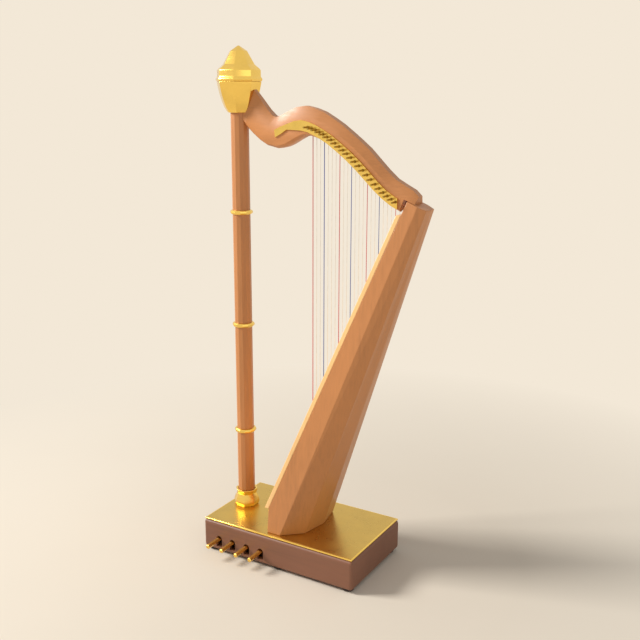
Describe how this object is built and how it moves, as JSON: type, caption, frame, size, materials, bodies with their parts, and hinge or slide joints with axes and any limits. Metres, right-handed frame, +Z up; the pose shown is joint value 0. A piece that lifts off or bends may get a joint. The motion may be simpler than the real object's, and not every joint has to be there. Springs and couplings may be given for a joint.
{
  "type": "pedal harp",
  "caption": "Concert pedal harp with a curved neck over vertical strings, a hollow pillar holding the pedal rods, a staved soundbox and a pedal base.",
  "frame": {"origin": "middle of the harp's box, on the floor under its feet", "axes": "+Z up, +X from the pillar towards the player, -Y to the player's left"},
  "size_m": [0.8184, 0.515, 1.8515],
  "materials": {
    "harp_wood": "glossy lacquered reddish maple",
    "base_wood": "satin dark stained wood",
    "feet": "satin dark stained wood",
    "soundboard_wood": "lacquered spruce",
    "strings": "gut strings with a maple rib",
    "gilt_brass": "polished gilt brass"
  },
  "bodies": {
    "frame": {"base_box": "base_wood", "base_top_plate": "gilt_brass", "bottom_board": "base_wood", "foot_1": "feet", "foot_2": "feet", "foot_3": "feet", "foot_4": "feet", "foot_5": "feet", "foot_6": "feet", "pillar": "harp_wood", "pillar_collar": "gilt_brass", "pillar_ring_1": "gilt_brass", "pillar_ring_2": "gilt_brass", "pillar_ring_3": "gilt_brass", "capital": "gilt_brass", "crown": "gilt_brass", "neck": "harp_wood", "action_plate": "gilt_brass", "soundbox": "harp_wood", "soundboard": "soundboard_wood", "strings_and_rib": "strings"},
    "pedal_e": {"pedal_e": "gilt_brass"},
    "pedal_rod_e": {"pedal_rod_e": "gilt_brass"},
    "pedal_f": {"pedal_f": "gilt_brass"},
    "pedal_rod_f": {"pedal_rod_f": "gilt_brass"},
    "pedal_g": {"pedal_g": "gilt_brass"},
    "pedal_rod_g": {"pedal_rod_g": "gilt_brass"},
    "pedal_a": {"pedal_a": "gilt_brass"},
    "pedal_rod_a": {"pedal_rod_a": "gilt_brass"},
    "pedal_d": {"pedal_d": "gilt_brass"},
    "pedal_rod_d": {"pedal_rod_d": "gilt_brass"},
    "pedal_c": {"pedal_c": "gilt_brass"},
    "pedal_rod_c": {"pedal_rod_c": "gilt_brass"},
    "pedal_b": {"pedal_b": "gilt_brass"},
    "pedal_rod_b": {"pedal_rod_b": "gilt_brass"},
    "fork_01": {"fork_01": "gilt_brass"},
    "fork_02": {"fork_02": "gilt_brass"},
    "fork_03": {"fork_03": "gilt_brass"},
    "fork_04": {"fork_04": "gilt_brass"},
    "fork_05": {"fork_05": "gilt_brass"},
    "fork_06": {"fork_06": "gilt_brass"},
    "fork_07": {"fork_07": "gilt_brass"},
    "fork_08": {"fork_08": "gilt_brass"},
    "fork_09": {"fork_09": "gilt_brass"},
    "fork_10": {"fork_10": "gilt_brass"},
    "fork_11": {"fork_11": "gilt_brass"},
    "fork_12": {"fork_12": "gilt_brass"},
    "fork_13": {"fork_13": "gilt_brass"},
    "fork_14": {"fork_14": "gilt_brass"},
    "fork_15": {"fork_15": "gilt_brass"},
    "fork_16": {"fork_16": "gilt_brass"},
    "fork_17": {"fork_17": "gilt_brass"},
    "fork_18": {"fork_18": "gilt_brass"},
    "fork_19": {"fork_19": "gilt_brass"},
    "fork_20": {"fork_20": "gilt_brass"},
    "fork_21": {"fork_21": "gilt_brass"},
    "fork_22": {"fork_22": "gilt_brass"},
    "fork_23": {"fork_23": "gilt_brass"}
  },
  "joints": [
    {"name": "pedal_e_press", "type": "hinge", "parent": "frame", "child": "pedal_e", "pos_m": [-0.3309, -0.06, 0.0575], "axis": [1, 0, 0], "range_deg": [0, 9], "stiffness_Nm_per_rad": 4},
    {"name": "pedal_rod_e_lift", "type": "slide", "parent": "frame", "child": "pedal_rod_e", "axis": [0, 0, 1], "range_m": [0, 0.00709]},
    {"name": "pedal_f_press", "type": "hinge", "parent": "frame", "child": "pedal_f", "pos_m": [-0.2699, -0.06, 0.0575], "axis": [1, 0, 0], "range_deg": [0, 9], "stiffness_Nm_per_rad": 4},
    {"name": "pedal_rod_f_lift", "type": "slide", "parent": "frame", "child": "pedal_rod_f", "axis": [0, 0, 1], "range_m": [0, 0.00744]},
    {"name": "pedal_g_press", "type": "hinge", "parent": "frame", "child": "pedal_g", "pos_m": [-0.2059, -0.06, 0.0575], "axis": [1, 0, 0], "range_deg": [0, 9], "stiffness_Nm_per_rad": 4},
    {"name": "pedal_rod_g_lift", "type": "slide", "parent": "frame", "child": "pedal_rod_g", "axis": [0, 0, 1], "range_m": [0, 0.00818]},
    {"name": "pedal_a_press", "type": "hinge", "parent": "frame", "child": "pedal_a", "pos_m": [-0.1439, -0.06, 0.0575], "axis": [1, 0, 0], "range_deg": [0, 9], "stiffness_Nm_per_rad": 4},
    {"name": "pedal_rod_a_lift", "type": "slide", "parent": "frame", "child": "pedal_rod_a", "axis": [0, 0, 1], "range_m": [0, 0.0092]},
    {"name": "pedal_d_press", "type": "hinge", "parent": "frame", "child": "pedal_d", "pos_m": [-0.3309, 0.06, 0.0575], "axis": [-1, 0, 0], "range_deg": [0, 9], "stiffness_Nm_per_rad": 4},
    {"name": "pedal_rod_d_lift", "type": "slide", "parent": "frame", "child": "pedal_rod_d", "axis": [0, 0, 1], "range_m": [0, 0.00709]},
    {"name": "pedal_c_press", "type": "hinge", "parent": "frame", "child": "pedal_c", "pos_m": [-0.2699, 0.06, 0.0575], "axis": [-1, 0, 0], "range_deg": [0, 9], "stiffness_Nm_per_rad": 4},
    {"name": "pedal_rod_c_lift", "type": "slide", "parent": "frame", "child": "pedal_rod_c", "axis": [0, 0, 1], "range_m": [0, 0.00748]},
    {"name": "pedal_b_press", "type": "hinge", "parent": "frame", "child": "pedal_b", "pos_m": [-0.2059, 0.06, 0.0575], "axis": [-1, 0, 0], "range_deg": [0, 9], "stiffness_Nm_per_rad": 4},
    {"name": "pedal_rod_b_lift", "type": "slide", "parent": "frame", "child": "pedal_rod_b", "axis": [0, 0, 1], "range_m": [0, 0.00837]},
    {"name": "fork_01_turn", "type": "hinge", "parent": "frame", "child": "fork_01", "pos_m": [-0.0299, 0, 1.58066], "axis": [0, 1, 0], "range_deg": [0, 40.2]},
    {"name": "fork_02_turn", "type": "hinge", "parent": "frame", "child": "fork_02", "pos_m": [-0.0149, 0, 1.57704], "axis": [0, 1, 0], "range_deg": [0, 40.2]},
    {"name": "fork_03_turn", "type": "hinge", "parent": "frame", "child": "fork_03", "pos_m": [0.0001, 0, 1.57246], "axis": [0, 1, 0], "range_deg": [0, 40.2]},
    {"name": "fork_04_turn", "type": "hinge", "parent": "frame", "child": "fork_04", "pos_m": [0.0151, 0, 1.56619], "axis": [0, 1, 0], "range_deg": [0, 40.2]},
    {"name": "fork_05_turn", "type": "hinge", "parent": "frame", "child": "fork_05", "pos_m": [0.0301, 0, 1.5591], "axis": [0, 1, 0], "range_deg": [0, 40.2]},
    {"name": "fork_06_turn", "type": "hinge", "parent": "frame", "child": "fork_06", "pos_m": [0.0451, 0, 1.55068], "axis": [0, 1, 0], "range_deg": [0, 40.2]},
    {"name": "fork_07_turn", "type": "hinge", "parent": "frame", "child": "fork_07", "pos_m": [0.0601, 0, 1.5418], "axis": [0, 1, 0], "range_deg": [0, 40.2]},
    {"name": "fork_08_turn", "type": "hinge", "parent": "frame", "child": "fork_08", "pos_m": [0.0751, 0, 1.53152], "axis": [0, 1, 0], "range_deg": [0, 40.2]},
    {"name": "fork_09_turn", "type": "hinge", "parent": "frame", "child": "fork_09", "pos_m": [0.0901, 0, 1.52124], "axis": [0, 1, 0], "range_deg": [0, 40.2]},
    {"name": "fork_10_turn", "type": "hinge", "parent": "frame", "child": "fork_10", "pos_m": [0.1051, 0, 1.51022], "axis": [0, 1, 0], "range_deg": [0, 40.2]},
    {"name": "fork_11_turn", "type": "hinge", "parent": "frame", "child": "fork_11", "pos_m": [0.1201, 0, 1.49919], "axis": [0, 1, 0], "range_deg": [0, 40.2]},
    {"name": "fork_12_turn", "type": "hinge", "parent": "frame", "child": "fork_12", "pos_m": [0.1351, 0, 1.4873], "axis": [0, 1, 0], "range_deg": [0, 40.2]},
    {"name": "fork_13_turn", "type": "hinge", "parent": "frame", "child": "fork_13", "pos_m": [0.1501, 0, 1.47508], "axis": [0, 1, 0], "range_deg": [0, 40.2]},
    {"name": "fork_14_turn", "type": "hinge", "parent": "frame", "child": "fork_14", "pos_m": [0.1651, 0, 1.46208], "axis": [0, 1, 0], "range_deg": [0, 40.2]},
    {"name": "fork_15_turn", "type": "hinge", "parent": "frame", "child": "fork_15", "pos_m": [0.1801, 0, 1.44815], "axis": [0, 1, 0], "range_deg": [0, 40.2]},
    {"name": "fork_16_turn", "type": "hinge", "parent": "frame", "child": "fork_16", "pos_m": [0.1951, 0, 1.43416], "axis": [0, 1, 0], "range_deg": [0, 40.2]},
    {"name": "fork_17_turn", "type": "hinge", "parent": "frame", "child": "fork_17", "pos_m": [0.2101, 0, 1.4199], "axis": [0, 1, 0], "range_deg": [0, 40.2]},
    {"name": "fork_18_turn", "type": "hinge", "parent": "frame", "child": "fork_18", "pos_m": [0.2251, 0, 1.40565], "axis": [0, 1, 0], "range_deg": [0, 40.2]},
    {"name": "fork_19_turn", "type": "hinge", "parent": "frame", "child": "fork_19", "pos_m": [0.2401, 0, 1.39314], "axis": [0, 1, 0], "range_deg": [0, 40.2]},
    {"name": "fork_20_turn", "type": "hinge", "parent": "frame", "child": "fork_20", "pos_m": [0.2551, 0, 1.38073], "axis": [0, 1, 0], "range_deg": [0, 40.2]},
    {"name": "fork_21_turn", "type": "hinge", "parent": "frame", "child": "fork_21", "pos_m": [0.2701, 0, 1.37054], "axis": [0, 1, 0], "range_deg": [0, 40.2]},
    {"name": "fork_22_turn", "type": "hinge", "parent": "frame", "child": "fork_22", "pos_m": [0.2851, 0, 1.36114], "axis": [0, 1, 0], "range_deg": [0, 40.2]},
    {"name": "fork_23_turn", "type": "hinge", "parent": "frame", "child": "fork_23", "pos_m": [0.3001, 0, 1.35289], "axis": [0, 1, 0], "range_deg": [0, 40.2]}
  ],
  "couplings": [
    {"joint": "pedal_rod_e_lift", "follows": "pedal_e_press", "m_per_rad": 0.04453},
    {"joint": "pedal_rod_f_lift", "follows": "pedal_f_press", "m_per_rad": 0.0467},
    {"joint": "pedal_rod_g_lift", "follows": "pedal_g_press", "m_per_rad": 0.05143},
    {"joint": "pedal_rod_a_lift", "follows": "pedal_a_press", "m_per_rad": 0.05791},
    {"joint": "pedal_rod_d_lift", "follows": "pedal_d_press", "m_per_rad": 0.04453},
    {"joint": "pedal_rod_c_lift", "follows": "pedal_c_press", "m_per_rad": 0.04699},
    {"joint": "pedal_rod_b_lift", "follows": "pedal_b_press", "m_per_rad": 0.05262},
    {"joint": "fork_01_turn", "follows": "pedal_c_press", "ratio": 4.4444},
    {"joint": "fork_02_turn", "follows": "pedal_d_press", "ratio": 4.4444},
    {"joint": "fork_03_turn", "follows": "pedal_e_press", "ratio": 4.4444},
    {"joint": "fork_04_turn", "follows": "pedal_f_press", "ratio": 4.4444},
    {"joint": "fork_05_turn", "follows": "pedal_g_press", "ratio": 4.4444},
    {"joint": "fork_06_turn", "follows": "pedal_a_press", "ratio": 4.4444},
    {"joint": "fork_07_turn", "follows": "pedal_b_press", "ratio": 4.4444},
    {"joint": "fork_08_turn", "follows": "pedal_c_press", "ratio": 4.4444},
    {"joint": "fork_09_turn", "follows": "pedal_d_press", "ratio": 4.4444},
    {"joint": "fork_10_turn", "follows": "pedal_e_press", "ratio": 4.4444},
    {"joint": "fork_11_turn", "follows": "pedal_f_press", "ratio": 4.4444},
    {"joint": "fork_12_turn", "follows": "pedal_g_press", "ratio": 4.4444},
    {"joint": "fork_13_turn", "follows": "pedal_a_press", "ratio": 4.4444},
    {"joint": "fork_14_turn", "follows": "pedal_b_press", "ratio": 4.4444},
    {"joint": "fork_15_turn", "follows": "pedal_c_press", "ratio": 4.4444},
    {"joint": "fork_16_turn", "follows": "pedal_d_press", "ratio": 4.4444},
    {"joint": "fork_17_turn", "follows": "pedal_e_press", "ratio": 4.4444},
    {"joint": "fork_18_turn", "follows": "pedal_f_press", "ratio": 4.4444},
    {"joint": "fork_19_turn", "follows": "pedal_g_press", "ratio": 4.4444},
    {"joint": "fork_20_turn", "follows": "pedal_a_press", "ratio": 4.4444},
    {"joint": "fork_21_turn", "follows": "pedal_b_press", "ratio": 4.4444},
    {"joint": "fork_22_turn", "follows": "pedal_c_press", "ratio": 4.4444},
    {"joint": "fork_23_turn", "follows": "pedal_d_press", "ratio": 4.4444}
  ]
}
